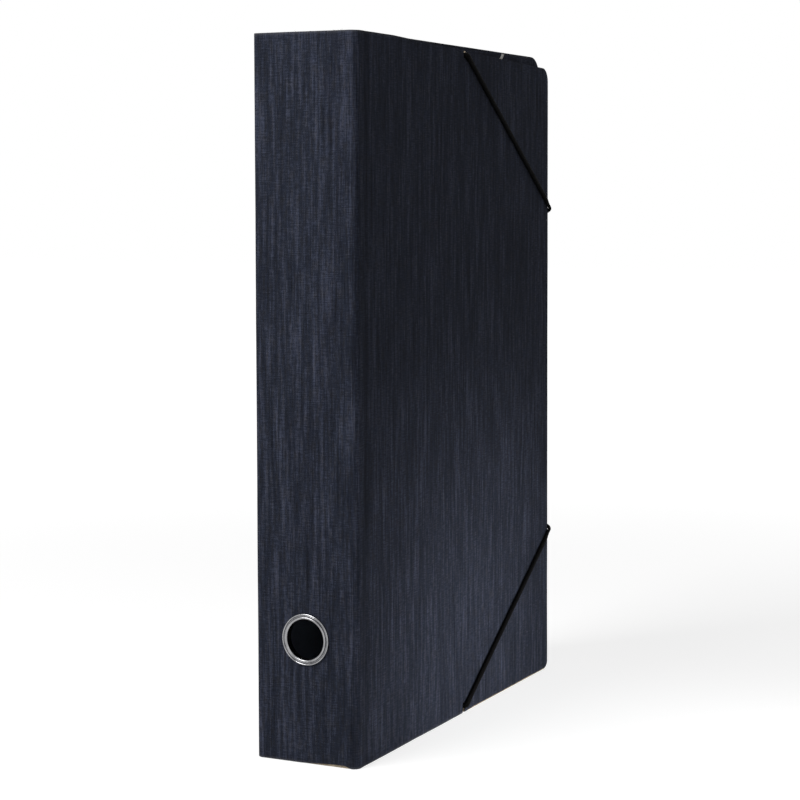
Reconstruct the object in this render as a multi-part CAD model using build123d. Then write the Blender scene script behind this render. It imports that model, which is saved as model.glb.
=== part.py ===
from build123d import *
import os

# Driving dimensions in millimetres.
# The box stands on its foot. X runs from the back to the cover, Y from the spine to the fore-edge.
box_height = 345.0
box_width = 55.0
box_depth = 238.0

# Thicknesses of the sheets that it is made of.
cloth = 0.4
case_board = 2.0
tray_board = 1.5
lining = 0.25
tape = 0.2

# Case: boards stop short of the corners, and the cloth alone turns round them.
crease_radius = 3.5
hinge_inset = 1.0
cover_level_length = 38.0
cover_top_drop = 5.8
cover_top_setback = 5.0
cover_top_radius = 7.5
cover_foot_radius = 4.5
lining_margin = 4.0

# Finger ring in the spine.
ring_outer_radius = 12.5
ring_bore_radius = 9.7
ring_barrel_wall = 0.4
ring_proud = 1.2
ring_flare = 1.2
ring_centre_height = 60.0
washer_radius = 12.0
washer_thickness = 0.5
ring_clearance = 0.1

# Tray: it sits inside the case, back from the fore-edge.
tray_setback = 10.0
spine_gap = 0.5
cover_gap = 0.4
tray_corner_radius = 12.0
side_lip_width = 50.0
lip_mitre_length = 175.5
lip_slit = 4.6
lip_joint = 0.4
lip_corner_cut = 12.0
lip_tape_half_width = 8.0

# Elastic bands, and the places where they cross the cover's edges.
band_diameter = 2.4
band_gap = 0.3
band_edge_round = 0.4
band_wall_bend = 3.0
band_wall_shift = 6.0
top_notch_length = 120.5
top_notch_depth = 2.2
foot_notch_length = 121.8
foot_notch_depth = 4.1
top_band_drop = 83.0
foot_band_rise = 81.0
hole_clearance = 0.2
cap_radius = 1.8
cap_thickness = 3.0
cap_inset = 1.0

band_radius = band_diameter / 2
band_reach = band_gap + band_diameter
case_layers = cloth + case_board + lining
tray_layers = cloth + tray_board


# How far the cover's fore-edge is from the spine at a height, as it leans back towards the top.
def cover_depth_at(height):
    return box_depth - cover_top_setback * height / box_height


# How high the cover's top edge is at a distance from the spine.
def cover_height_at(length):
    fall_length = box_depth - cover_top_setback - cover_level_length
    return box_height - cover_top_drop * max(0.0, length - cover_level_length) / fall_length


# The origin is under the middle of the whole, with the ring and the bands counted in.
top_band_z = box_height - top_band_drop
foot_band_z = foot_band_rise
top_wall_z = top_band_z - band_wall_shift
foot_wall_z = foot_band_z + band_wall_shift
deepest = max(box_depth, cover_depth_at(foot_band_z) + band_reach)
back_x = -(box_width + band_reach) / 2
front_x = back_x + box_width
spine_y = ring_proud - (ring_proud + deepest) / 2
fore_y = spine_y + box_depth
crease_y = spine_y + crease_radius

# Planes of the tray.
base_x = back_x + cloth + case_board
wall_x = base_x + tray_board
lip_face_x = front_x - case_layers - cover_gap
lip_x = lip_face_x - tray_layers
tray_spine_y = spine_y + case_layers + spine_gap
tray_fore_y = fore_y - tray_setback
tray_corner_y = tray_fore_y - tray_corner_radius


# A flat plate between two corners.
def plate(x_span, y_span, z_span):
    spans = (x_span, y_span, z_span)
    sizes = [high - low for low, high in spans]
    middles = [(high + low) / 2 for low, high in spans]
    return Pos(*middles) * Box(*sizes)


# An outline in the plane of Y and Z.
def outline(*points):
    return make_face(Polyline(*points, close=True))


def rectangle(y_span, z_span):
    (y_low, y_high), (z_low, z_high) = y_span, z_span
    return outline((y_low, z_low), (y_high, z_low), (y_high, z_high), (y_low, z_high))


# A leaf is an outline given a thickness along X.
def leaf(shape, x_low, x_high):
    return extrude(Plane.YZ.offset(x_low) * shape, amount=x_high - x_low)


def rod_along_x(radius, x_span, y, z):
    x_low, x_high = x_span
    disc = Pos(y, z) * Circle(radius)
    return extrude(Plane.YZ.offset(x_low) * disc, amount=x_high - x_low)


def rod_along_y(radius, x, y_span, z):
    y_low, y_high = y_span
    rod = Cylinder(radius, y_high - y_low, rotation=(90, 0, 0))
    return Pos(x, (y_low + y_high) / 2, z) * rod


# Where the bands go through the lips, over the cover's edges and into the fore-edge wall.
anchor_x = lip_x - cap_inset - cap_radius
wall_inner_y = tray_fore_y - tray_layers
top_notch_y = spine_y + top_notch_length
foot_notch_y = spine_y + foot_notch_length
top_notch_z = cover_height_at(top_notch_length) - top_notch_depth
foot_notch_z = foot_notch_depth
hole_radius = band_radius + hole_clearance
notch_half_width = band_radius + band_gap


# The cover's outline: level beside the spine, then falling to the fore-edge, with rounded corners.
def cover_outline(margin):
    high = box_height - margin
    level_y = spine_y + cover_level_length
    corner_y = spine_y + cover_depth_at(box_height) - margin
    points = (
        (crease_y + margin, margin),
        (fore_y - margin, margin),
        (corner_y, high - cover_top_drop),
        (level_y, high),
        (crease_y + margin, high),
    )
    shape = outline(*points)
    foot, top = shape.vertices().sort_by(Axis.X)[-2:].sort_by(Axis.Y)
    shape = fillet(top, cover_top_radius)
    foot = shape.vertices().group_by(Axis.Y)[0].sort_by(Axis.X)[-1]
    return fillet(foot, cover_foot_radius)


# A round-bottomed slot in the cover's edge, which a band lies in.
def notch(y, z, edge_z):
    slot = rectangle((y - notch_half_width, y + notch_half_width), sorted((z, edge_z)))
    return slot + Pos(y, z) * Circle(notch_half_width)


top_notch = notch(top_notch_y, top_notch_z, box_height)
foot_notch = notch(foot_notch_y, foot_notch_z, 0.0)
notched_cover = cover_outline(0.0) - top_notch - foot_notch
plain_cover = cover_outline(lining_margin) - top_notch - foot_notch


# The tray seen from the cover, open at the spine and rounded at both fore-edge corners.
def tray_outline(inset):
    y_span = (tray_spine_y, tray_fore_y - inset)
    shape = rectangle(y_span, (inset, box_height - inset))
    corners = shape.vertices().sort_by(Axis.X)[-2:]
    return fillet(corners, tray_corner_radius - inset)


def tray_band(outer_inset, inner_inset):
    return tray_outline(outer_inset) - tray_outline(inner_inset)


middle_z = box_height / 2
top_window = rectangle((tray_spine_y, tray_corner_y), (middle_z, box_height))
foot_window = rectangle((tray_spine_y, tray_corner_y), (0.0, middle_z))
fore_window = rectangle((tray_corner_y, tray_fore_y), (0.0, box_height))

board_band = tray_band(cloth, tray_layers)
cloth_band = tray_band(0.0, cloth)
lip_field = tray_outline(cloth)

# Lips: the side lips have a mitred end, and the fore-edge lip is cut to match. Their boards meet at
# a narrow joint, and the cloth on the side lips stops a slit away, so that white board shows there.
mitre_y = spine_y + lip_mitre_length
slit_y = mitre_y + lip_slit
joint_y = slit_y - lip_joint
lip_edge_y = slit_y - lip_corner_cut


def side_lip_outline(height_of, end_y):
    points = (
        (tray_spine_y, height_of(0.0)),
        (end_y, height_of(0.0)),
        (end_y - side_lip_width, height_of(side_lip_width)),
        (tray_spine_y, height_of(side_lip_width)),
    )
    return outline(*points) & lip_field


def below_top(depth):
    return box_height - depth


def above_foot(depth):
    return depth


top_lip_shape = side_lip_outline(below_top, joint_y)
foot_lip_shape = side_lip_outline(above_foot, joint_y)
top_lip_cloth_shape = side_lip_outline(below_top, mitre_y)
foot_lip_cloth_shape = side_lip_outline(above_foot, mitre_y)
fore_lip_shape = lip_field & outline(
    (slit_y, 0.0),
    (tray_fore_y, 0.0),
    (tray_fore_y, box_height),
    (slit_y, box_height),
    (lip_edge_y, box_height - lip_corner_cut),
    (lip_edge_y, lip_corner_cut),
)

# Holes that the bands pass through.
lip_span = (lip_x - cap_thickness, front_x)
top_lip_hole = rod_along_x(hole_radius, lip_span, top_notch_y, top_notch_z)
foot_lip_hole = rod_along_x(hole_radius, lip_span, foot_notch_y, foot_notch_z)
wall_span = (wall_inner_y - cap_thickness, fore_y)
top_wall_hole = rod_along_y(hole_radius, anchor_x, wall_span, top_wall_z)
foot_wall_hole = rod_along_y(hole_radius, anchor_x, wall_span, foot_wall_z)
wall_holes = top_wall_hole + foot_wall_hole


# The cloth wraps a wall on its outside, turns over the rim and covers the lip.
def wrap(window, lip_shape):
    wall_cloth = leaf(cloth_band & window, wall_x, lip_face_x)
    lip_cloth = leaf(lip_shape, lip_face_x - cloth, lip_face_x)
    return wall_cloth + lip_cloth


def make_tray():
    walls = {"top_wall": top_window, "bottom_wall": foot_window, "fore_edge_wall": fore_window}
    made = {name: leaf(board_band & window, wall_x, lip_x) for name, window in walls.items()}
    made["fore_edge_wall"] -= wall_holes
    lip_board_x = (lip_x, lip_x + tray_board)
    made["top_lip"] = leaf(top_lip_shape, *lip_board_x) - top_lip_hole
    made["bottom_lip"] = leaf(foot_lip_shape, *lip_board_x) - foot_lip_hole
    made["fore_edge_lip"] = leaf(fore_lip_shape, *lip_board_x)
    made["top_wrap"] = wrap(top_window, top_lip_cloth_shape) - top_lip_hole
    made["bottom_wrap"] = wrap(foot_window, foot_lip_cloth_shape) - foot_lip_hole
    made["fore_edge_wrap"] = wrap(fore_window, fore_lip_shape) - wall_holes
    made["tray_base"] = leaf(tray_outline(0.0), base_x, wall_x)
    return made


# Paper on the tray's floor and on the inside of its walls.
def make_tray_lining():
    floor = leaf(tray_outline(tray_layers), wall_x, wall_x + lining)
    wall_shape = tray_band(tray_layers, tray_layers + lining)
    walls = leaf(wall_shape, wall_x + lining, lip_x - tape)
    room_radius = cap_radius + hole_clearance
    for height in (top_wall_z, foot_wall_z):
        walls -= rod_along_y(room_radius, anchor_x, wall_span, height)
    return floor + walls


# Tape under the lips, across each mitre.
def make_lip_tapes():
    inner_field = tray_outline(tray_layers + lining)
    strips = []
    for height_of in (below_top, above_foot):
        points = (
            (mitre_y - lip_tape_half_width, height_of(0.0)),
            (slit_y + lip_tape_half_width, height_of(0.0)),
            (lip_edge_y + lip_tape_half_width, height_of(lip_corner_cut)),
            (lip_edge_y - lip_slit - lip_tape_half_width, height_of(lip_corner_cut)),
        )
        strips.append(leaf(outline(*points) & inner_field, lip_x - tape, lip_x))
    return strips


# Boards, cloth and lining of the case.
case_x = (back_x + crease_radius, front_x - crease_radius)
ring_x = (back_x + front_x) / 2
barrel_radius = ring_bore_radius + ring_barrel_wall
ring_hole_radius = barrel_radius + ring_clearance
spine_board_y = spine_y + cloth
spine_lining_y = spine_board_y + case_board
spine_inner_y = spine_lining_y + lining


def spine_leaf(y_low, y_high, margin):
    x_span = (case_x[0] + margin, case_x[1] - margin)
    sheet = plate(x_span, (y_low, y_high), (margin, box_height - margin))
    hole_span = (spine_y - ring_proud, spine_inner_y + washer_thickness)
    return sheet - rod_along_y(ring_hole_radius, ring_x, hole_span, ring_centre_height)


def make_case():
    back_field = rectangle((crease_y, fore_y), (0.0, box_height))
    back_corners = back_field.vertices().sort_by(Axis.X)[-2:]
    back_field = fillet(back_corners, cover_top_radius)
    return {
        "back_cloth": leaf(back_field, back_x, back_x + cloth),
        "back_board": leaf(back_field, back_x + cloth, base_x),
        "spine_cloth": spine_leaf(spine_y, spine_board_y, 0.0),
        "spine_board": spine_leaf(spine_board_y, spine_lining_y, 0.0),
        "spine_lining": spine_leaf(spine_lining_y, spine_inner_y, lining),
        "front_cloth": leaf(notched_cover, front_x - cloth, front_x),
        "front_board": leaf(notched_cover, front_x - cloth - case_board, front_x - cloth),
        "front_lining": leaf(plain_cover, front_x - case_layers, front_x - cloth - case_board),
    }


# The cloth alone turns round a corner of the case, as a quarter of a tube.
def crease(x_centre, x_span):
    tube = Circle(crease_radius) - Circle(crease_radius - cloth)
    quarter = Pos(x_centre, crease_y) * tube
    x_low, x_high = x_span
    window = outline((x_low, spine_y), (x_high, spine_y), (x_high, crease_y), (x_low, crease_y))
    return extrude(quarter & window, amount=box_height)


def make_creases():
    return {
        "back_hinge_cloth": crease(case_x[0], (back_x, case_x[0])),
        "front_hinge_cloth": crease(case_x[1], (case_x[1], front_x)),
    }


# The ring's rolled rim stands on the cloth, and its barrel is flared over the washer inside.
def make_ring():
    inner_end = spine_inner_y - spine_y + washer_thickness
    lip_end = inner_end + ring_barrel_wall
    rim_middle = (ring_bore_radius + ring_outer_radius) / 2
    rim = ThreePointArc(
        (ring_outer_radius, 0.0),
        (rim_middle, -ring_proud),
        (ring_bore_radius, 0.0),
    )
    barrel = Polyline(
        (ring_bore_radius, 0.0),
        (ring_bore_radius, lip_end),
        (barrel_radius + ring_flare, lip_end),
        (barrel_radius + ring_flare, inner_end),
        (barrel_radius, inner_end),
        (barrel_radius, 0.0),
        (ring_outer_radius, 0.0),
    )
    profile = make_face(rim + barrel)
    ring = Pos(ring_x, spine_y, ring_centre_height) * revolve(profile, Axis.Y)
    washer_span = (spine_inner_y, spine_inner_y + washer_thickness)
    hole_span = (spine_y, spine_inner_y + 2 * washer_thickness)
    washer = rod_along_y(washer_radius, ring_x, washer_span, ring_centre_height)
    washer -= rod_along_y(ring_hole_radius, ring_x, hole_span, ring_centre_height)
    return {"finger_ring": ring, "ring_washer": washer}


# A taut cord: out through the lip and the notch, over the cover, round the fore-edge, into the wall.
def make_band(name, notch_y, notch_z, fore_z, wall_z):
    face_x = front_x + band_gap + band_radius
    edge_y = spine_y + cover_depth_at(fore_z) + band_gap + band_radius
    points = (
        (lip_x, notch_y, notch_z),
        (face_x, notch_y, notch_z),
        (face_x, edge_y, fore_z),
        (anchor_x, edge_y, wall_z),
        (anchor_x, wall_inner_y, wall_z),
    )
    edge_bend = band_radius + band_edge_round
    radii = [edge_bend, edge_bend, band_wall_bend]
    route = FilletPolyline(*points, radius=radii)
    section = Plane(origin=points[0], z_dir=(1, 0, 0)) * Circle(band_radius)
    cord = sweep(section, path=route)
    expected = section.area * route.length
    print(f"{name}: length {route.length:.1f} mm, bends {radii}, volume {cord.volume / expected:.4f} of expected")
    return cord


# A metal cap on each band end, against the inside of the lip or the wall.
def make_caps():
    lip_cap_x = (lip_x - cap_thickness, lip_x)
    wall_cap_y = (wall_inner_y - cap_thickness, wall_inner_y)
    caps = [rod_along_x(cap_radius, lip_cap_x, top_notch_y, top_notch_z)]
    caps.append(rod_along_x(cap_radius, lip_cap_x, foot_notch_y, foot_notch_z))
    caps += [rod_along_y(cap_radius, anchor_x, wall_cap_y, z) for z in (top_wall_z, foot_wall_z)]
    return caps


parts = {**make_case(), **make_creases(), **make_ring(), **make_tray()}
parts["tray_lining"] = make_tray_lining()
parts["lip_tapes"] = Compound(children=make_lip_tapes())
parts["top_band"] = make_band("top_band", top_notch_y, top_notch_z, top_band_z, top_wall_z)
parts["bottom_band"] = make_band("bottom_band", foot_notch_y, foot_notch_z, foot_band_z, foot_wall_z)
parts["band_end_caps"] = Compound(children=make_caps())

os.makedirs("parts", exist_ok=True)
for name, shape in parts.items():
    export_step(shape, f"parts/{name}.step")

# The lines that the hinges turn on, and the openings' limits.
print("spine hinge at", round(back_x + hinge_inset, 3), round(spine_y + hinge_inset, 3))
print("cover hinge at", round(front_x - hinge_inset, 3), round(spine_y + hinge_inset, 3))
print("ring centre at", round(ring_x, 3), round(spine_y, 3), ring_centre_height)
print("tray inside from", round(wall_x + lining, 3), round(spine_inner_y + washer_thickness, 3))
print("lip from", round(lip_x, 3), "to", round(lip_face_x, 3), "edge at", round(lip_edge_y, 3))
print("fore-edge wall inside at", round(wall_inner_y, 3), "corner starts at", round(tray_corner_y, 3))
print(len(parts), "nodes")
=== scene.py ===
import math
import random
import bmesh
import bpy
from mathutils import Matrix, Vector, noise


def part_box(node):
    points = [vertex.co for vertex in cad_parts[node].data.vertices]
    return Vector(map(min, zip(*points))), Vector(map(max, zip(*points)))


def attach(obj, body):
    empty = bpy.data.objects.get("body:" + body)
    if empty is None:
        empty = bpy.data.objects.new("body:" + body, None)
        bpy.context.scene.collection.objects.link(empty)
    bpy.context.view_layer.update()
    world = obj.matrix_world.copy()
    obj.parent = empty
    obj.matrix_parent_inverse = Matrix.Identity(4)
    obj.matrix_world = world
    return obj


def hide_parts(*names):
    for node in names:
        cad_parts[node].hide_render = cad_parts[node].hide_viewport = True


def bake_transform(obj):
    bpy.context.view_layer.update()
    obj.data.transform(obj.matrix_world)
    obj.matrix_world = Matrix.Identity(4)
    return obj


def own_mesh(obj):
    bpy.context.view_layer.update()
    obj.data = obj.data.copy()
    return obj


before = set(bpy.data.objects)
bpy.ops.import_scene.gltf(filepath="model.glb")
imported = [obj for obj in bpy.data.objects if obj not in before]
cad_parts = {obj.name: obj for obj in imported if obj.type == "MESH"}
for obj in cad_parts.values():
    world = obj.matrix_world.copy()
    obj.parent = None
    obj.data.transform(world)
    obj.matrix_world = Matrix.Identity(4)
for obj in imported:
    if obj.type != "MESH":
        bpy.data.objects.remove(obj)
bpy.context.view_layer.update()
mm = 0.001
scene = bpy.context.scene

# Places that several pieces share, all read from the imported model.
coverLow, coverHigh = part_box("front_board")
spineLow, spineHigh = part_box("spine_cloth")
ringLow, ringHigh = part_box("finger_ring")
ringMiddle = (ringLow + ringHigh) / 2
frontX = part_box("front_cloth")[1].x
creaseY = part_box("front_cloth")[0].y
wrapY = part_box("top_wrap")[1].y
spineY = spineLow.y
boxHeight = spineHigh.z
print("frame loaded:", len(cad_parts), "nodes")


# ---- Node helpers for materials
def startMaterial(name):
    material = bpy.data.materials.new(name)
    material.use_nodes = True
    return material, material.node_tree.nodes["Principled BSDF"]


def addNode(material, kind, settings=None, inputs=None):
    node = material.node_tree.nodes.new(kind)
    for key, value in (settings or {}).items():
        setattr(node, key, value)
    for key, value in (inputs or {}).items():
        node.inputs[key].default_value = value
    return node


def join(material, output, target):
    material.node_tree.links.new(output, target)


def doMath(material, operation, first, second=None, third=None):
    node = addNode(material, "ShaderNodeMath", {"operation": operation})
    for slot, value in enumerate((first, second, third)):
        if value is None:
            continue
        if isinstance(value, (int, float)):
            node.inputs[slot].default_value = value
        else:
            join(material, value, node.inputs[slot])
    return node.outputs[0]


def stretchedNoise(material, source, size, detail=2.0, turn=0.0):
    mapping = addNode(material, "ShaderNodeMapping")
    mapping.inputs["Scale"].default_value = [1 / side for side in size]
    mapping.inputs["Rotation"].default_value = (0, 0, turn)
    texture = addNode(material, "ShaderNodeTexNoise", inputs={"Scale": 1.0, "Detail": detail})
    join(material, source, mapping.inputs["Vector"])
    join(material, mapping.outputs[0], texture.inputs["Vector"])
    return texture.outputs["Fac"]


# One colour laid over another by a share from 0 to 1.
def layOver(material, share, under, over):
    mix = addNode(material, "ShaderNodeMix", {"data_type": "RGBA"})
    join(material, share, mix.inputs["Factor"])
    join(material, under, mix.inputs["A"])
    if isinstance(over, tuple):
        mix.inputs["B"].default_value = (*over, 1.0)
    else:
        join(material, over, mix.inputs["B"])
    return mix.outputs["Result"]


def addBump(material, shader, height, strength, distance):
    bump = addNode(material, "ShaderNodeBump", inputs={"Strength": strength, "Distance": distance})
    join(material, height, bump.inputs["Height"])
    join(material, bump.outputs[0], shader.inputs["Normal"])


def rampOf(material, factor, stops):
    ramp = addNode(material, "ShaderNodeValToRGB")
    elements = ramp.color_ramp.elements
    while len(elements) < len(stops):
        elements.new(0.5)
    for element, (place, colour) in zip(elements, stops):
        element.position = place
        element.color = (*colour, 1.0)
    join(material, factor, ramp.inputs[0])
    return ramp.outputs[0]


# ---- Bookcloth: slubbed warp threads over a fine plain weave
bookclothLook = {
    "darkThread": (0.005, 0.006, 0.010),
    "midThread": (0.020, 0.024, 0.038),
    "paleThread": (0.067, 0.076, 0.117),
    "brownDark": (0.007, 0.007, 0.008),
    "brownMid": (0.024, 0.024, 0.028),
    "brownPale": (0.074, 0.071, 0.080),
    "dust": (0.16, 0.16, 0.17),
    "dustReach": 1.6,
    "dustShare": 0.5,
    # Share of painted shade laid over the cloth in the groove beside the spine.
    "paintedGrooveShade": 0.45,
    "hueSize": (1.3, 6.0),
    "threadPitch": 0.62,
    "weaveBump": 0.4,
    "bumpDepth": 0.0003,
    "roughness": 0.9,
    "roughnessSpan": 0.12,
    # Noise sizes in millimetres across and along the threads, then each one's weight.
    "noises": {
        "slub": ((0.9, 26.0), 0.5),
        "warp": ((0.5, 5.0), 0.4),
        "weft": ((4.5, 0.5), 0.48),
        "blotch": ((2.2, 36.0), 0.6),
        "speck": ((0.8, 0.9), 0.25),
        "broad": ((9.0, 90.0), 0.3),
    },
}


# Places on the cloth in millimetres: across the warp threads, then along them.
def clothPlaces(material, sideways):
    coordinates = addNode(material, "ShaderNodeTexCoord")
    split = addNode(material, "ShaderNodeSeparateXYZ")
    join(material, coordinates.outputs["Object"], split.inputs[0])
    x, y, z = split.outputs
    if sideways:
        across, along = doMath(material, "ADD", x, z), y
    else:
        across, along = doMath(material, "ADD", x, y), z
    across = doMath(material, "MULTIPLY", across, 1000.0)
    along = doMath(material, "MULTIPLY", along, 1000.0)
    places = addNode(material, "ShaderNodeCombineXYZ")
    join(material, across, places.inputs[0])
    join(material, along, places.inputs[1])
    return places.outputs[0], across, along


# One inside a band round a line, falling softly to nothing at its sides.
def softBand(material, place, middle, halfWidth):
    away = doMath(material, "ABSOLUTE", doMath(material, "SUBTRACT", place, middle))
    near = addNode(material, "ShaderNodeMapRange", {"interpolation_type": "SMOOTHSTEP"})
    near.inputs["From Min"].default_value = halfWidth
    near.inputs["From Max"].default_value = 0.0
    join(material, away, near.inputs["Value"])
    return near.outputs[0]


def makeBookcloth(name, sideways=False, groove=False):
    look = bookclothLook
    material, shader = startMaterial(name)
    places, across, along = clothPlaces(material, sideways)
    # Each noise is added with its own weight, about a middle of one half.
    noises = {}
    tone = 0.5
    for noiseName, ((wide, tall), weight) in look["noises"].items():
        noises[noiseName] = stretchedNoise(material, places, (wide, tall, 1.0), 2.0)
        tone = doMath(material, "MULTIPLY_ADD", noises[noiseName], weight, tone)
        tone = doMath(material, "SUBTRACT", tone, weight / 2)
    slub, warp, weft = noises["slub"], noises["warp"], noises["weft"]
    blues = [(0.15, look["darkThread"]), (0.5, look["midThread"]), (0.85, look["paleThread"])]
    browns = [(0.15, look["brownDark"]), (0.5, look["brownMid"]), (0.85, look["brownPale"])]
    hue = stretchedNoise(material, places, (*look["hueSize"], 1.0), 2.0)
    hueShare = rampOf(material, hue, [(0.42, (0, 0, 0)), (0.68, (0.5, 0.5, 0.5))])
    colour = layOver(material, hueShare, rampOf(material, tone, blues), rampOf(material, tone, browns))

    # Wear shows as pale dust along the cut edges at the foot and the top.
    if not sideways:
        foot = softBand(material, along, 0.0, look["dustReach"])
        head = softBand(material, along, boxHeight / mm, look["dustReach"])
        edges = doMath(material, "ADD", foot, head)
        worn = doMath(material, "MULTIPLY", edges, doMath(material, "MULTIPLY", warp, look["dustShare"]))
        colour = layOver(material, worn, colour, look["dust"])

    # Painted shade: the cloth's colour is darkened in the groove beside the spine, where shade falls.
    if groove:
        grooveAcross = (frontX + spineY) / mm + coverClothShape["grooveAt"]
        darker = softBand(material, across, grooveAcross, coverClothShape["grooveHalfWidth"])
        shade = doMath(material, "MULTIPLY", darker, look["paintedGrooveShade"])
        colour = layOver(material, shade, colour, look["darkThread"])
    join(material, colour, shader.inputs["Base Color"])

    # Over and under of the plain weave, then thick and thin threads on top of it.
    turn = math.pi / look["threadPitch"]
    overUnder = doMath(
        material,
        "MULTIPLY",
        doMath(material, "SINE", doMath(material, "MULTIPLY", across, turn)),
        doMath(material, "SINE", doMath(material, "MULTIPLY", along, turn)),
    )
    height = doMath(material, "MULTIPLY_ADD", overUnder, 0.22, doMath(material, "MULTIPLY", warp, 0.9))
    height = doMath(material, "MULTIPLY_ADD", slub, 0.8, height)
    height = doMath(material, "MULTIPLY_ADD", weft, 0.45, height)
    addBump(material, shader, height, look["weaveBump"], look["bumpDepth"])
    span = look["roughnessSpan"]
    rough = doMath(material, "MULTIPLY_ADD", slub, span, look["roughness"] - span / 2)
    join(material, rough, shader.inputs["Roughness"])
    shader.inputs["Specular IOR Level"].default_value = 0.05
    shader.inputs["Sheen Weight"].default_value = 0.015
    shader.inputs["Sheen Roughness"].default_value = 0.5
    return material


# ---- Boards, papers and tape
boardLook = {
    "caseDark": (0.36, 0.28, 0.19),
    "casePale": (0.62, 0.52, 0.39),
    "trayDark": (0.84, 0.84, 0.82),
    "trayPale": (0.93, 0.93, 0.92),
    "paperDark": (0.26, 0.30, 0.36),
    "paperPale": (0.34, 0.39, 0.47),
    "tapeDark": (0.80, 0.80, 0.78),
    "tapePale": (0.90, 0.90, 0.88),
    # Thickness of a layer, and the size of a patch in it, in millimetres.
    "layer": 0.35,
    "patch": 7.0,
    "caseRoughness": 0.85,
    "trayRoughness": 0.8,
}


def objectPlaces(material):
    coordinates = addNode(material, "ShaderNodeTexCoord")
    scaled = addNode(material, "ShaderNodeMapping")
    scaled.inputs["Scale"].default_value = (1000.0, 1000.0, 1000.0)
    join(material, coordinates.outputs["Object"], scaled.inputs["Vector"])
    return scaled.outputs[0]


# Pressed board: thin layers across its thickness, with short fibres on its faces.
def makeBoard(name, dark, pale, layerSize, roughness):
    material, shader = startMaterial(name)
    places = objectPlaces(material)
    layers = stretchedNoise(material, places, layerSize, 2.0)
    fibres = stretchedNoise(material, places, (1.4, 0.5, 0.9), 4.0, 0.6)
    clouds = stretchedNoise(material, places, (30.0, 30.0, 30.0), 2.0)
    tone = doMath(material, "MULTIPLY_ADD", layers, 0.6, doMath(material, "MULTIPLY", fibres, 0.35))
    tone = doMath(material, "MULTIPLY_ADD", clouds, 0.3, doMath(material, "SUBTRACT", tone, 0.12))
    colour = rampOf(material, tone, [(0.25, dark), (0.75, pale)])
    join(material, colour, shader.inputs["Base Color"])
    height = doMath(material, "ADD", layers, fibres)
    addBump(material, shader, height, 0.3, 0.0002)
    rough = doMath(material, "MULTIPLY_ADD", fibres, 0.12, roughness - 0.06)
    join(material, rough, shader.inputs["Roughness"])
    shader.inputs["Specular IOR Level"].default_value = 0.25
    return material


# Smooth paper with a faint cockle and a few darker fibres.
def makePaper(name, dark, pale, fibreSize):
    material, shader = startMaterial(name)
    places = objectPlaces(material)
    fibres = stretchedNoise(material, places, fibreSize, 5.0, 0.4)
    clouds = stretchedNoise(material, places, (24.0, 18.0, 40.0), 2.0)
    tone = doMath(material, "MULTIPLY_ADD", fibres, 0.55, doMath(material, "MULTIPLY", clouds, 0.45))
    colour = rampOf(material, tone, [(0.3, dark), (0.62, pale)])
    join(material, colour, shader.inputs["Base Color"])
    height = doMath(material, "MULTIPLY_ADD", clouds, 2.0, doMath(material, "MULTIPLY", fibres, 0.3))
    addBump(material, shader, height, 0.25, 0.0002)
    rough = doMath(material, "MULTIPLY_ADD", fibres, 0.15, 0.62)
    join(material, rough, shader.inputs["Roughness"])
    shader.inputs["Specular IOR Level"].default_value = 0.3
    return material


# ---- Metals and elastic
metalLook = {
    "nickel": (0.38, 0.38, 0.39),
    "nickelDull": (0.23, 0.23, 0.24),
    "nickelRoughness": 0.17,
    "ringScratches": 2.2,
    "zinc": (0.50, 0.51, 0.52),
    "zincDull": (0.38, 0.39, 0.40),
    "zincRoughness": 0.38,
}


# Turned metal: round scratches about the ring's own axis, and a few dull patches.
def makeRingMetal(centre):
    material, shader = startMaterial("ringNickel")
    coordinates = addNode(material, "ShaderNodeTexCoord")
    centred = addNode(material, "ShaderNodeMapping")
    centred.inputs["Scale"].default_value = (1000.0, 1000.0, 1000.0)
    centred.inputs["Location"].default_value = [-1000.0 * value for value in centre]
    join(material, coordinates.outputs["Object"], centred.inputs["Vector"])
    rings = addNode(
        material,
        "ShaderNodeTexWave",
        {"wave_type": "RINGS", "rings_direction": "Y"},
        {"Scale": metalLook["ringScratches"], "Distortion": 1.5, "Detail": 3.0, "Detail Scale": 2.0},
    )
    join(material, centred.outputs[0], rings.inputs["Vector"])
    dull = stretchedNoise(material, centred.outputs[0], (5.0, 5.0, 5.0), 4.0)
    colour = rampOf(material, dull, [(0.3, metalLook["nickelDull"]), (0.65, metalLook["nickel"])])
    join(material, colour, shader.inputs["Base Color"])
    shader.inputs["Metallic"].default_value = 1.0
    rough = doMath(material, "MULTIPLY_ADD", dull, 0.16, metalLook["nickelRoughness"] - 0.05)
    join(material, rough, shader.inputs["Roughness"])
    addBump(material, shader, rings.outputs["Fac"], 0.05, 0.0001)
    return material


def makeZinc():
    material, shader = startMaterial("plainZinc")
    places = objectPlaces(material)
    spangle = addNode(material, "ShaderNodeTexVoronoi", inputs={"Scale": 0.7})
    join(material, places, spangle.inputs["Vector"])
    grain = stretchedNoise(material, places, (0.4, 0.4, 0.4), 4.0)
    tone = doMath(material, "MULTIPLY_ADD", spangle.outputs["Distance"], 0.3, grain)
    colour = rampOf(material, tone, [(0.35, metalLook["zincDull"]), (0.85, metalLook["zinc"])])
    join(material, colour, shader.inputs["Base Color"])
    shader.inputs["Metallic"].default_value = 1.0
    rough = doMath(material, "MULTIPLY_ADD", grain, 0.25, metalLook["zincRoughness"] - 0.1)
    join(material, rough, shader.inputs["Roughness"])
    addBump(material, shader, grain, 0.15, 0.0001)
    return material


elasticLook = {
    "strandsRound": 8,
    "braidLength": 1.1,
    "stops": [(0.2, (0.001, 0.001, 0.001)), (0.6, (0.002, 0.002, 0.002)), (0.95, (0.010, 0.010, 0.012))],
    "roughness": 0.7,
}


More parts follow.
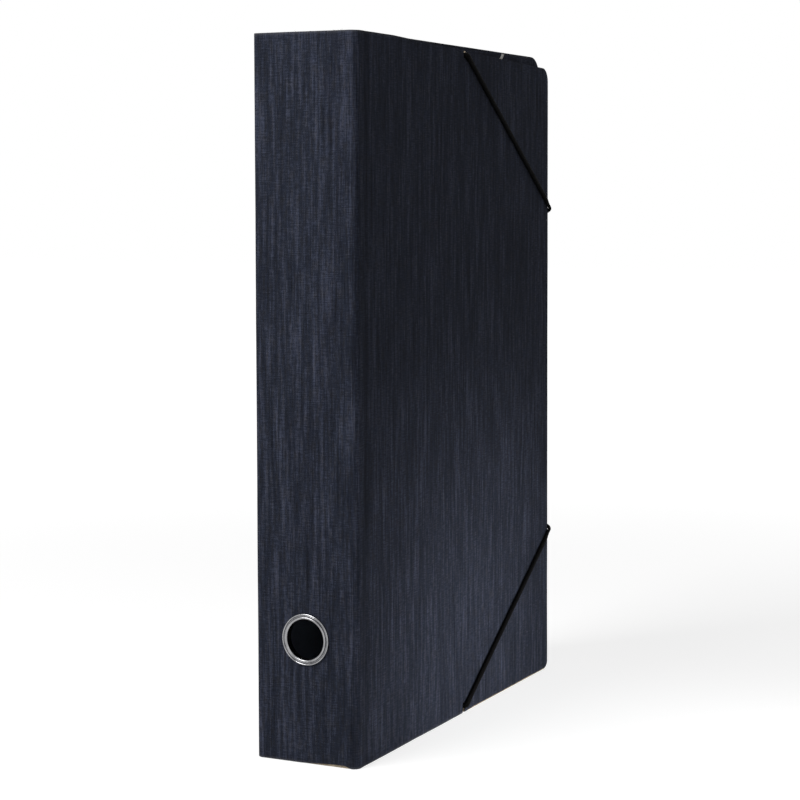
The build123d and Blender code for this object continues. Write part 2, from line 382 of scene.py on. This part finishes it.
# Braided cover of the elastic, laid by the band's own map: U goes round it, V along it in millimetres.
def makeElastic():
    look = elasticLook
    material, shader = startMaterial("braidedElastic")
    unwrapped = addNode(material, "ShaderNodeUVMap", {"uv_map": "bandMap"})
    split = addNode(material, "ShaderNodeSeparateXYZ")
    join(material, unwrapped.outputs[0], split.inputs[0])
    turns = doMath(material, "MULTIPLY", split.outputs[0], look["strandsRound"] * 2 * math.pi)
    pitch = doMath(material, "MULTIPLY", split.outputs[1], 2 * math.pi / look["braidLength"])
    oneWay = doMath(material, "SINE", doMath(material, "ADD", turns, pitch))
    otherWay = doMath(material, "SINE", doMath(material, "SUBTRACT", turns, pitch))
    braid = doMath(material, "MAXIMUM", oneWay, otherWay)
    places = objectPlaces(material)
    fuzz = stretchedNoise(material, places, (0.3, 0.3, 0.3), 4.0)
    patches = stretchedNoise(material, places, (9.0, 9.0, 9.0), 2.0)
    tone = doMath(material, "MULTIPLY_ADD", braid, 0.22, doMath(material, "MULTIPLY", fuzz, 0.6))
    tone = doMath(material, "MULTIPLY_ADD", patches, 0.2, tone)
    join(material, rampOf(material, tone, look["stops"]), shader.inputs["Base Color"])
    addBump(material, shader, doMath(material, "MULTIPLY_ADD", fuzz, 0.3, braid), 0.5, 0.0002)
    rough = doMath(material, "MULTIPLY_ADD", fuzz, 0.2, look["roughness"])
    join(material, rough, shader.inputs["Roughness"])
    shader.inputs["Specular IOR Level"].default_value = 0.05
    return material


# ---- Shared ways of making pieces
def makePiece(name, shape, material, body=None, replaced=()):
    data = bpy.data.meshes.new(name)
    shape.to_mesh(data)
    shape.free()
    data.shade_smooth()
    data.set_sharp_from_angle(angle=math.radians(38))
    data.materials.append(material)
    piece = bpy.data.objects.new(name, data)
    scene.collection.objects.link(piece)
    if body:
        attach(piece, body)
    if replaced:
        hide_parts(*replaced)
    return piece


def smoothStep(value, low, high):
    share = min(1.0, max(0.0, (value - low) / (high - low)))
    return share * share * (3 - 2 * share)


clothCuts = {"flatAngle": 1.5, "rimAngle": 60.0, "rimSegments": 2, "borderWidth": 0.02}
# Where a cloth meets the next one: the axis, and the place on it.
clothBorders = {
    "spine_cloth": ((0, spineLow.x), (0, spineHigh.x)),
    "front_cloth": ((1, creaseY),),
    "back_cloth": ((1, creaseY),),
    "top_wrap": ((1, wrapY),),
    "bottom_wrap": ((1, wrapY),),
    "fore_edge_wrap": ((1, wrapY),),
}


# A rim that another cloth goes on from stays sharp, so that no line shows between them.
def roundsRim(edge, nodeName):
    for axis, place in clothBorders[nodeName]:
        if all(abs(vert.co[axis] - place) < clothCuts["borderWidth"] * mm for vert in edge.verts):
            return False
    return True


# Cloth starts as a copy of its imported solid, with its rims rounded and its faces cut fine enough to move.
def startCloth(nodeName, steps, rimRound):
    shape = bmesh.new()
    shape.from_mesh(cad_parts[nodeName].data)
    bmesh.ops.remove_doubles(shape, verts=shape.verts, dist=1e-6)
    flatAngle = math.radians(clothCuts["flatAngle"])
    rimAngle = math.radians(clothCuts["rimAngle"])
    bmesh.ops.dissolve_limit(shape, angle_limit=flatAngle, verts=shape.verts, edges=shape.edges)
    rims = [edge for edge in shape.edges if edge.is_manifold and edge.calc_face_angle() > rimAngle]
    rims = [edge for edge in rims if roundsRim(edge, nodeName)]
    bmesh.ops.bevel(
        shape,
        geom=rims,
        offset=rimRound * mm,
        offset_type="OFFSET",
        affect="EDGES",
        segments=clothCuts["rimSegments"],
        profile=0.5,
        material=-1,
        clamp_overlap=True,
    )
    low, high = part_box(nodeName)
    for axis, step in enumerate(steps):
        if not step:
            continue
        count = max(1, round((high[axis] - low[axis]) / (step * mm)))
        normal = [float(k == axis) for k in range(3)]
        for k in range(1, count):
            place = [0.0, 0.0, 0.0]
            place[axis] = low[axis] + (high[axis] - low[axis]) * k / count
            everything = shape.verts[:] + shape.edges[:] + shape.faces[:]
            bmesh.ops.bisect_plane(shape, geom=everything, dist=1e-7, plane_co=place, plane_no=normal)
    return shape


ripple = {"size": 38.0, "fineSize": 11.0, "height": 0.10, "fineHeight": 0.03, "seed": 5}
noise.seed_set(ripple["seed"])


# How far glued cloth lies off a flat plane, as a small push in any direction.
def rippleAt(place):
    broad = noise.noise_vector(place / (ripple["size"] * mm)) * ripple["height"]
    fine = noise.noise_vector(place / (ripple["fineSize"] * mm)) * ripple["fineHeight"]
    return (broad + fine) * mm


# ---- Camera
viewpoint = {"place": (465.2, -973.4, 270.9), "azimuth": 26.01, "pitch": 5.678, "lens": 93.74}

cameraData = bpy.data.cameras.new("studioCamera")
cameraData.lens = viewpoint["lens"]
cameraData.clip_start = 0.05
cameraData.clip_end = 30.0
studioCamera = bpy.data.objects.new("studioCamera", cameraData)
scene.collection.objects.link(studioCamera)
studioCamera.location = [value * mm for value in viewpoint["place"]]
tilt = math.radians(90 - viewpoint["pitch"])
studioCamera.rotation_euler = (tilt, 0.0, math.radians(viewpoint["azimuth"]))
scene.camera = studioCamera
scene.view_settings.view_transform = "Standard"
print("camera placed")


# ---- Cloth on the spine
spineClothShape = {
    "steps": (3.0, 0, 4.0),
    "rimRound": 0.12,
    "ringCalm": (13.0, 22.0),
    "footZone": 6.0,
    "footRise": 1.2,
    "footRiseSpan": (-6.0, 16.0),
    "footLift": 0.35,
    "cornerSpan": 3.5,
    "fray": 0.12,
}
fraying = {"threadWidth": 0.9, "edgeHeight": 0.3}
borderFade = 4.0


# Nothing on the given lines, and one further from them than the fade.
def fadeFrom(value, *lines):
    nearest = min(abs(value - line) for line in lines)
    return smoothStep(nearest, 0.0, borderFade * mm)


# Unevenness of a cut edge at the foot, as a small rise.
def frayRise(vert, place, across, reach):
    if place.z < fraying["edgeHeight"] * mm:
        spot = Vector((across / (fraying["threadWidth"] * mm), 0, 0))
        vert.co.z += abs(noise.noise(spot) * reach * mm)


def makeSpineCloth(material):
    look = spineClothShape
    shape = startCloth("spine_cloth", look["steps"], look["rimRound"])
    calmFrom, calmTo = [reach * mm for reach in look["ringCalm"]]
    riseFrom, riseTo = [reach * mm for reach in look["footRiseSpan"]]
    for vert in shape.verts:
        place = vert.co.copy()
        away = math.hypot(place.x - ringMiddle.x, place.z - ringMiddle.z)
        calm = fadeFrom(place.x, spineLow.x, spineHigh.x) * smoothStep(away, calmFrom, calmTo)
        vert.co += rippleAt(place) * calm
        # The cloth stops a little above the foot on the cover's side, and stands off the board there.
        nearFoot = 1 - smoothStep(place.z, 0.0, look["footZone"] * mm)
        rise = smoothStep(place.x, riseFrom, riseTo)
        rise *= 1 - smoothStep(place.x, spineHigh.x - look["cornerSpan"] * mm, spineHigh.x)
        vert.co.z += nearFoot * rise * look["footRise"] * mm
        vert.co.y -= nearFoot * rise * look["footLift"] * mm
        frayRise(vert, place, place.x, look["fray"])
    return makePiece("spineCloth", shape, material, "spine", ["spine_cloth"])


# ---- Cloth on the cover, with the groove of its hinge
coverClothShape = {
    "steps": (0, 3.4, 4.0),
    "rimRound": 0.12,
    "grooveAt": 9.3,
    "grooveHalfWidth": 4.5,
    "grooveDepth": 0.24,
    "footZone": 4.0,
    "footRise": 0.6,
    "footRiseSpan": 15.0,
    "fray": 0.12,
}


def makeCoverCloth(material):
    look = coverClothShape
    shape = startCloth("front_cloth", look["steps"], look["rimRound"])
    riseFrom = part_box("bottom_band")[0].y
    otherPart = Vector((0.3, 0, 0))  # takes the unevenness from another part of its pattern
    for vert in shape.verts:
        place = vert.co.copy()
        calm = fadeFrom(place.y, creaseY)
        vert.co += rippleAt(place + otherPart) * calm
        outside = place.x > frontX - 0.2 * mm
        away = abs(place.y - spineY - look["grooveAt"] * mm)
        if outside:
            dip = 1 - smoothStep(away, 0.0, look["grooveHalfWidth"] * mm)
            vert.co.x -= dip * look["grooveDepth"] * mm
        nearFoot = 1 - smoothStep(place.z, 0.0, look["footZone"] * mm)
        rise = smoothStep(place.y, riseFrom, riseFrom + look["footRiseSpan"] * mm)
        vert.co.z += nearFoot * rise * look["footRise"] * mm
        frayRise(vert, place, place.y, look["fray"])
    return makePiece("coverCloth", shape, material, "front_cover", ["front_cloth"])


# ---- Cloth on the back, and on the tray's walls and lips
plainClothShape = {"rimRound": 0.12, "rippleShare": 0.7}
# Name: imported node, steps of the cuts in millimetres, threads running sideways.
plainCloths = {
    "backCloth": ("back_cloth", (0, 5.0, 5.0), False),
    "topWrap": ("top_wrap", (4.0, 5.0, 5.0), True),
    "bottomWrap": ("bottom_wrap", (4.0, 5.0, 5.0), True),
    "foreEdgeWrap": ("fore_edge_wrap", (4.0, 5.0, 5.0), False),
}


def makePlainCloth(name, material):
    nodeName, steps, sideways = plainCloths[name]
    shape = startCloth(nodeName, steps, plainClothShape["rimRound"])
    borderLines = [place for axis, place in clothBorders[nodeName] if axis == 1]
    for vert in shape.verts:
        calm = fadeFrom(vert.co.y, *borderLines)
        vert.co += rippleAt(vert.co.copy()) * calm * plainClothShape["rippleShare"]
    return makePiece(name, shape, material, "tray", [nodeName])


# ---- Rounded creases, where the cloth alone turns a corner of the case
creaseShape = {"radius": 3.5, "cloth": 0.4, "rimRound": 0.1, "lengthCuts": 69, "turnSteps": 16}


# A tall narrow outline is spun a quarter turn about the middle of the crease.
def makeCrease(name, nodeName, middleX, side, otherBody, material):
    look = creaseShape
    outer, inner = look["radius"], look["radius"] - look["cloth"]
    rim, top = look["rimRound"], boxHeight / mm
    outline = [(outer, rim), (outer, top - rim), (outer - rim, top), (inner + rim, top)]
    outline += [(inner, top - rim), (inner, rim), (inner + rim, 0), (outer - rim, 0)]
    shape = bmesh.new()
    places = [(middleX, creaseY - reach * mm, height * mm) for reach, height in outline]
    verts = [shape.verts.new(place) for place in places]
    for first, second in zip(verts, verts[1:] + verts[:1]):
        shape.edges.new((first, second))
    tall = [edge for edge in shape.edges if edge.calc_length() > 0.1]
    bmesh.ops.subdivide_edges(shape, edges=tall, cuts=look["lengthCuts"])
    bmesh.ops.spin(
        shape,
        geom=shape.verts[:] + shape.edges[:],
        cent=(middleX, creaseY, 0),
        axis=(0, 0, 1),
        angle=side * math.pi / 2,
        steps=look["turnSteps"],
        use_duplicate=False,
    )
    bmesh.ops.remove_doubles(shape, verts=shape.verts, dist=1e-7)
    bmesh.ops.holes_fill(shape, edges=shape.edges, sides=0)
    bmesh.ops.recalc_face_normals(shape, faces=shape.faces)
    for vert in shape.verts:
        place = vert.co.copy()
        turn = math.atan2(abs(place.x - middleX), creaseY - place.y)
        calm = max(0.0, math.sin(2 * turn))
        vert.co += rippleAt(place) * calm
    piece = makePiece(name, shape, material, None, [nodeName])
    if otherBody == "front_cover":
        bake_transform(piece)
    else:
        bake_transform(piece)
    return piece


bookclothUpright = makeBookcloth("bookclothUpright")
bookclothCover = makeBookcloth("bookclothCover", groove=True)
bookclothSideways = makeBookcloth("bookclothSideways", sideways=True)
makeSpineCloth(bookclothUpright)
makeCoverCloth(bookclothCover)
for clothName, (_, _, sideways) in plainCloths.items():
    makePlainCloth(clothName, bookclothSideways if sideways else bookclothUpright)
makeCrease("frontCrease", "front_hinge_cloth", spineHigh.x, 1, "front_cover", bookclothUpright)
makeCrease("backCrease", "back_hinge_cloth", spineLow.x, -1, "tray", bookclothUpright)
print("cloth laid on case and tray")


# ---- Finger ring, pressed from thin sheet with a double bead
fingerRingShape = {
    "steps": 56,
    # Reach from the ring's middle, then height off the cloth, in millimetres.
    "profile": (
        (12.5, 0.02),
        (12.5, 0.4),
        (12.38, 0.82),
        (12.08, 0.95),
        (11.78, 0.82),
        (11.64, 0.4),
        (11.5, 0.12),
        (11.24, 0.12),
        (11.08, 0.45),
        (10.94, 1.0),
        (10.6, 1.2),
        (10.1, 1.08),
        (9.8, 0.7),
        (9.7, 0.2),
        (9.7, -1.2),
        (9.7, -2.9),
        (9.85, -3.42),
        (10.4, -3.54),
        (11.2, -3.52),
        (11.28, -3.34),
        (11.2, -3.16),
        (10.4, -3.16),
        (10.1, -2.8),
        (10.1, -1.2),
        (10.12, -0.05),
        (10.5, 0.02),
        (11.6, 0.02),
    ),
}


def makeFingerRing(material, middle):
    look = fingerRingShape
    shape = bmesh.new()
    places = [(middle.x + reach * mm, spineY - out * mm, middle.z) for reach, out in look["profile"]]
    verts = [shape.verts.new(place) for place in places]
    for first, second in zip(verts, verts[1:] + verts[:1]):
        shape.edges.new((first, second))
    bmesh.ops.spin(
        shape,
        geom=shape.verts[:] + shape.edges[:],
        cent=(middle.x, spineY, middle.z),
        axis=(0, 1, 0),
        angle=2 * math.pi,
        steps=look["steps"],
        use_merge=True,
        use_duplicate=False,
    )
    bmesh.ops.recalc_face_normals(shape, faces=shape.faces)
    ring = makePiece("fingerRing", shape, material, "spine", ["finger_ring"])
    softer = ring.modifiers.new("softer", "SUBSURF")
    softer.levels = 2
    softer.render_levels = 2
    return ring


ringMetal = makeRingMetal((ringMiddle.x, spineY, ringMiddle.z))
makeFingerRing(ringMetal, ringMiddle)
print("finger ring turned")


# ---- Elastic bands
# Corners of each route in millimetres, from the lip, over the cover, round the fore-edge, to the wall.
bandShape = {
    "radius": 1.2,
    "sides": 16,
    "longestStep": 3.0,
    "shortestStep": 0.05,
    "cornerReach": 2.4,
    "wallReach": 4.2,
    "edgeThinness": 0.62,
    "edgePull": 0.42,
    "edgeReach": (3.0, 11.0),
    "notchFullness": 1.18,
    "notchReach": (2.5, 6.0),
    "flatten": 0.3,
    "topRoute": (
        (21.2, 1.337, 340.346),
        (27.5, 1.337, 340.346),
        (27.5, 116.540, 262.0),
        (18.4, 116.540, 256.0),
        (18.4, 106.937, 256.0),
    ),
    "bottomRoute": (
        (21.2, 2.637, 4.1),
        (27.5, 2.637, 3.9),
        (27.5, 119.163, 81.0),
        (18.4, 119.163, 87.0),
        (18.4, 106.937, 87.0),
    ),
}


# The taut line: straight runs, with a control point close before and after each corner.
def bandLine(name, route):
    corners = [Vector(place) * mm for place in route]
    controls = [corners[0]]
    reaches = (bandShape["cornerReach"], bandShape["cornerReach"], bandShape["wallReach"])
    for before, corner, after, reach in zip(corners, corners[1:], corners[2:], reaches):
        controls.append(corner + (before - corner).normalized() * reach * mm)
        controls.append(corner)
        controls.append(corner + (after - corner).normalized() * reach * mm)
    controls.append(corners[-1])
    curve = bpy.data.curves.new(name, "CURVE")
    curve.dimensions = "3D"
    curve.resolution_u = 14
    spline = curve.splines.new("NURBS")
    spline.points.add(len(controls) - 1)
    for point, place in zip(spline.points, controls):
        point.co = (*place, 1.0)
    spline.order_u = 3
    spline.use_endpoint_u = True
    holder = bpy.data.objects.new(name, curve)
    scene.collection.objects.link(holder)
    bpy.context.view_layer.update()
    line = bpy.data.meshes.new_from_object(holder)
    places = [vert.co.copy() for vert in line.vertices]
    bpy.data.objects.remove(holder)
    return places


# The line's places again, none further from the last than the longest step.
def evenPlaces(places):
    spaced = [places[0]]
    for place in places[1:]:
        gap = (place - spaced[-1]).length
        cuts = int(gap // (bandShape["longestStep"] * mm))
        spaced += [spaced[-1].lerp(place, k / (cuts + 1)) for k in range(1, cuts + 1)]
        if gap > bandShape["shortestStep"] * mm:
            spaced.append(place)
    return spaced


# A circle at each place of the line, square to it.
def circlesAlong(shape, spaced):
    heading = (spaced[1] - spaced[0]).normalized()
    turn = heading.to_track_quat("Z", "Y").to_matrix()
    circles = []
    for k, place in enumerate(spaced):
        ahead = spaced[min(k + 1, len(spaced) - 1)] - spaced[max(k - 1, 0)]
        newHeading = ahead.normalized()
        turn = heading.rotation_difference(newHeading).to_matrix() @ turn
        heading = newHeading
        made = bmesh.ops.create_circle(
            shape,
            segments=bandShape["sides"],
            radius=bandShape["radius"] * mm,
            matrix=Matrix.Translation(place) @ turn.to_4x4(),
        )
        circles.append(made["verts"])
    return circles


# The band is drawn in and flattened round the fore-edge, and bunched where it enters its notch.
def pressBand(circles, spaced, route):
    look = bandShape
    notchCorner, edgeCorner = [Vector(place) * mm for place in route[1:3]]
    edgeFrom, edgeTo = [reach * mm for reach in look["edgeReach"]]
    notchFrom, notchTo = [reach * mm for reach in look["notchReach"]]
    edgeOut = Vector((1, 1, 0)).normalized()
    for circle, place in zip(circles, spaced):
        pressed = 1 - smoothStep((place - edgeCorner).length, edgeFrom, edgeTo)
        bunched = 1 - smoothStep((place - notchCorner).length, notchFrom, notchTo)
        for vert in circle:
            vert.co += (vert.co - place) * (look["notchFullness"] - 1) * bunched
            outward = (vert.co - place).dot(edgeOut)
            inward = outward * (1 - look["edgeThinness"]) + look["edgePull"] * mm
            vert.co -= edgeOut * inward * pressed


# The band's own map: U goes round it, V along it in millimetres.
def mapBand(shape, mapLayer, circles, spaced):
    sides = bandShape["sides"]
    lengths = [0.0]
    for before, place in zip(spaced, spaced[1:]):
        lengths.append(lengths[-1] + (place - before).length)
    spots = {}
    for circle, length in zip(circles, lengths):
        for side, vert in enumerate(circle):
            spots[vert] = (side, length / mm)
    for face in shape.faces:
        closing = {spots[vert][0] for vert in face.verts} == {0, sides - 1}
        for loop in face.loops:
            side, along = spots[loop.vert]
            if closing and side == 0:
                side = sides
            loop[mapLayer].uv = (side / sides, along)


# A round tube along the line.
def makeBand(name, nodeName, route, material):
    spaced = evenPlaces(bandLine(name + "Line", route))
    shape = bmesh.new()
    mapLayer = shape.loops.layers.uv.new("bandMap")
    circles = circlesAlong(shape, spaced)
    outlines = []
    for circle in circles:
        edges = [edge for vert in circle for edge in vert.link_edges]
        outlines.append(list(dict.fromkeys(edges)))
    pressBand(circles, spaced, route)
    for first, second in zip(outlines, outlines[1:]):
        bmesh.ops.bridge_loops(shape, edges=first + second)
    mapBand(shape, mapLayer, circles, spaced)
    for outline in (outlines[0], outlines[-1]):
        bmesh.ops.edgeloop_fill(shape, edges=outline)
    bmesh.ops.recalc_face_normals(shape, faces=shape.faces)
    band = makePiece(name, shape, material, "tray", [nodeName])
    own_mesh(band)
    return band


elasticCord = makeElastic()
makeBand("topBand", "top_band", bandShape["topRoute"], elasticCord)
makeBand("bottomBand", "bottom_band", bandShape["bottomRoute"], elasticCord)
print("bands stretched")


# ---- Loose thread ends along the cut edges of the cloth
looseThreads = {
    "count": 46,
    "radius": 0.05,
    "tipShare": 0.4,
    "shortest": 0.4,
    "longest": 1.5,
    "buried": 0.05,
    "footHeight": 0.9,
    "lowest": 0.1,
    "aboveTop": 0.6,
    "coverEnds": (6.0, 12.0),
    "seed": 11,
}


def makeLooseThreads(name, body, placesFor, material, seed):
    look = looseThreads
    chooser = random.Random(seed)
    shape = bmesh.new()
    for _ in range(look["count"]):
        start, heading = placesFor(chooser)
        length = chooser.uniform(look["shortest"], look["longest"]) * mm
        lean = Vector([chooser.uniform(-0.5, 0.5) for _ in range(3)])
        heading = (heading + lean).normalized()
        place = Matrix.Translation(start + heading * length * (0.5 - look["buried"]))
        bmesh.ops.create_cone(
            shape,
            cap_ends=True,
            segments=4,
            radius1=look["radius"] * mm,
            radius2=look["radius"] * look["tipShare"] * mm,
            depth=length,
            matrix=place @ heading.to_track_quat("Z", "Y").to_matrix().to_4x4(),
        )
    for vert in shape.verts:
        vert.co.z = min(max(vert.co.z, look["lowest"] * mm), boxHeight + look["aboveTop"] * mm)
    return makePiece(name, shape, material, body)


def spineThreadPlace(chooser):
    x = chooser.uniform(spineLow.x, spineHigh.x)
    atTop = chooser.random() < 0.5
    z = boxHeight - 0.2 * mm if atTop else looseThreads["footHeight"] * mm
    heading = Vector((chooser.uniform(-1, 1), -0.5, 0.35 if atTop else -0.1))
    return Vector((x, spineY + 0.1 * mm, z)), heading


def coverThreadPlace(chooser):
    fromSpine, fromForeEdge = [reach * mm for reach in looseThreads["coverEnds"]]
    y = chooser.uniform(coverLow.y + fromSpine, coverHigh.y - fromForeEdge)
    heading = Vector((0.5, chooser.uniform(-1, 1), -0.1))
    return Vector((frontX - 0.1 * mm, y, looseThreads["footHeight"] * mm)), heading


makeLooseThreads("spineThreads", "spine", spineThreadPlace, bookclothUpright, looseThreads["seed"])
makeLooseThreads("coverThreads", "front_cover", coverThreadPlace, bookclothCover, looseThreads["seed"] + 1)
print("thread ends added")


# ---- Finishes of the carried-over nodes
caseTones = (boardLook["caseDark"], boardLook["casePale"])
trayTones = (boardLook["trayDark"], boardLook["trayPale"])
layersX = (boardLook["layer"], boardLook["patch"], boardLook["patch"])
layersY = (boardLook["patch"], boardLook["layer"], boardLook["patch"])
layersZ = (boardLook["patch"], boardLook["patch"], boardLook["layer"])
caseBoardFlat = makeBoard("caseBoardFlat", *caseTones, layersX, boardLook["caseRoughness"])
caseBoardSpine = makeBoard("caseBoardSpine", *caseTones, layersY, boardLook["caseRoughness"])
trayBoardFlat = makeBoard("trayBoardFlat", *trayTones, layersX, boardLook["trayRoughness"])
trayBoardFore = makeBoard("trayBoardFore", *trayTones, layersY, boardLook["trayRoughness"])
trayBoardSide = makeBoard("trayBoardSide", *trayTones, layersZ, boardLook["trayRoughness"])
liningPaper = makePaper("liningPaper", boardLook["paperDark"], boardLook["paperPale"], (2.2, 2.2, 0.7))
lipTape = makePaper("lipTape", boardLook["tapeDark"], boardLook["tapePale"], (0.5, 3.0, 3.0))
plainZinc = makeZinc()
finishes = {
    caseBoardFlat: ("back_board", "front_board"),
    caseBoardSpine: ("spine_board",),
    trayBoardFlat: ("tray_base", "top_lip", "bottom_lip", "fore_edge_lip"),
    trayBoardFore: ("fore_edge_wall",),
    trayBoardSide: ("top_wall", "bottom_wall"),
    liningPaper: ("spine_lining", "front_lining", "tray_lining"),
    lipTape: ("lip_tapes",),
    plainZinc: ("ring_washer", "band_end_caps"),
}
for material, nodeNames in finishes.items():
    for nodeName in nodeNames:
        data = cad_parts[nodeName].data
        data.materials.clear()
        data.materials.append(material)
print("finishes given to the packed nodes")


# ---- Floor, world and lamps
studio = {
    "floorSize": 12.0,
    "floorColour": (0.86, 0.86, 0.86),
    "shadowShare": 0.45,
    "shadowReach": (0.3, 1.1),
    "litFloor": 0.6,
    "whiteLevel": 1.06,
    "worldLight": 0.14,
    # Name: place, aim, side of the square lamp in metres, spread in degrees, watts.
    "lamps": {
        "keyLamp": ((-0.35, -0.78, 0.95), (0.0, -0.10, 0.26), 0.6, 180, 10.8),
        "sideLamp": ((1.25, -0.70, 0.75), (0.0, 0.05, 0.15), 0.8, 180, 1.3),
        "lowLamp": ((0.50, 0.02, 0.04), (0.03, 0.02, 0.0), 0.16, 40, 0.17),
    },
}


def makeFloor():
    shape = bmesh.new()
    bmesh.ops.create_grid(shape, x_segments=2, y_segments=2, size=studio["floorSize"] / 2)
    bmesh.ops.translate(shape, verts=shape.verts, vec=(0, 0, -0.0002))
    material, shader = startMaterial("paleFloor")
    shader.inputs["Base Color"].default_value = (*studio["floorColour"], 1.0)
    shader.inputs["Roughness"].default_value = 0.9
    shader.inputs["Specular IOR Level"].default_value = 0.1
    rays = addNode(material, "ShaderNodeLightPath")
    seen = doMath(material, "MAXIMUM", rays.outputs["Is Camera Ray"], rays.outputs["Is Glossy Ray"])
    seen = doMath(material, "MAXIMUM", seen, rays.outputs["Is Transmission Ray"])
    glow = addNode(material, "ShaderNodeEmission")
    mix = addNode(material, "ShaderNodeMixShader")
    # The shadow shows near the object alone, and the rest of the floor is plain white.
    coordinates = addNode(material, "ShaderNodeTexCoord")
    distance = addNode(material, "ShaderNodeVectorMath", {"operation": "LENGTH"})
    join(material, coordinates.outputs["Object"], distance.inputs[0])
    near = addNode(material, "ShaderNodeMapRange", {"interpolation_type": "SMOOTHSTEP"})
    near.inputs["From Min"].default_value = studio["shadowReach"][1]
    near.inputs["From Max"].default_value = studio["shadowReach"][0]
    near.inputs["To Max"].default_value = studio["shadowShare"]
    join(material, distance.outputs["Value"], near.inputs["Value"])
    share = near.outputs[0]
    missing = doMath(material, "MULTIPLY_ADD", share, -studio["litFloor"], studio["whiteLevel"])
    whiteShare = doMath(material, "SUBTRACT", 1.0, share)
    join(material, doMath(material, "DIVIDE", missing, whiteShare), glow.inputs["Strength"])
    join(material, doMath(material, "MULTIPLY", seen, whiteShare), mix.inputs[0])
    join(material, shader.outputs[0], mix.inputs[1])
    join(material, glow.outputs[0], mix.inputs[2])
    output = material.node_tree.nodes["Material Output"]
    join(material, mix.outputs[0], output.inputs["Surface"])
    data = bpy.data.meshes.new("paleFloor")
    shape.to_mesh(data)
    shape.free()
    data.materials.append(material)
    floor = bpy.data.objects.new("paleFloor", data)
    scene.collection.objects.link(floor)


def makeWorld():
    world = bpy.data.worlds.new("studioWorld")
    world.use_nodes = True
    scene.world = world
    background = world.node_tree.nodes["Background"]
    rays = addNode(world, "ShaderNodeLightPath")
    seen = doMath(world, "MAXIMUM", rays.outputs["Is Camera Ray"], rays.outputs["Is Glossy Ray"])
    seen = doMath(world, "MAXIMUM", seen, rays.outputs["Is Transmission Ray"])
    lit = studio["worldLight"]
    strength = doMath(world, "MULTIPLY_ADD", seen, 1 - lit, lit)
    background.inputs["Color"].default_value = (1, 1, 1, 1)
    join(world, strength, background.inputs["Strength"])


def makeLamps():
    for name, (place, aim, side, spread, watts) in studio["lamps"].items():
        data = bpy.data.lights.new(name, "AREA")
        data.shape = "SQUARE"
        data.size = side
        data.energy = watts
        data.spread = math.radians(spread)
        lamp = bpy.data.objects.new(name, data)
        lamp.location = place
        heading = Vector(aim) - Vector(place)
        lamp.rotation_euler = heading.to_track_quat("-Z", "Y").to_euler()
        lamp.visible_camera = False
        scene.collection.objects.link(lamp)


makeFloor()
makeWorld()
makeLamps()
print("studio lit")
